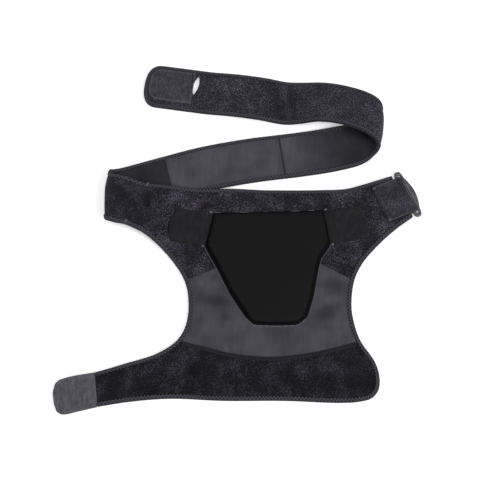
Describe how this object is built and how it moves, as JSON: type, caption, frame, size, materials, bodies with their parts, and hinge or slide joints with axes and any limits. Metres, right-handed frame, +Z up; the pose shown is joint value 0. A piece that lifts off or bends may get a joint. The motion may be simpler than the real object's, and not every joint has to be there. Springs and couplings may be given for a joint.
{
  "type": "shoulder brace",
  "caption": "Neoprene shoulder brace lying open: panelled body with a raised pad, long chest strap, arm band with hook tab, and a plastic strap ring.",
  "frame": {"origin": "middle of the brace's own box, on the surface that it lies on", "axes": "+Z up through the thickness, +Y from the arm band towards the chest strap, +X from the arm hook tab towards the ring"},
  "size_m": [0.5264, 0.5418, 0.0339],
  "materials": {
    "loop_cloth": "brushed loop",
    "smooth_cloth": "smooth jersey over neoprene",
    "strap_cloth": "brushed loop, smooth lining",
    "binding_tape": "woven tape",
    "arm_hook": "hook side",
    "tip_hook": "hook side",
    "pad_cloth": "tight smooth jersey",
    "wing_cloth": "fine hook side",
    "tab_cloth": "brushed loop",
    "ring_plastic": "satin"
  },
  "bodies": {
    "brace": {"upper_panel": "loop_cloth", "middle_panel": "smooth_cloth", "lower_panel": "loop_cloth", "neck_binding": "binding_tape", "outer_binding": "binding_tape", "waist_binding": "binding_tape", "seam_tape": "binding_tape", "arm_hook_tab": "arm_hook", "pad": "pad_cloth", "left_pad_wing": "wing_cloth", "right_pad_wing": "wing_cloth", "chest_strap": "strap_cloth", "strap_binding": "binding_tape", "strap_hook_patch": "tip_hook", "ring_tab": "tab_cloth"},
    "ring": {"strap_ring": "ring_plastic"}
  },
  "joints": [
    {"name": "ring_swing", "type": "hinge", "parent": "brace", "child": "ring", "pos_m": [0.2392, 0.05365, 0.0047], "axis": [0.3987, -0.9171, 0], "range_deg": [0, 120]}
  ]
}
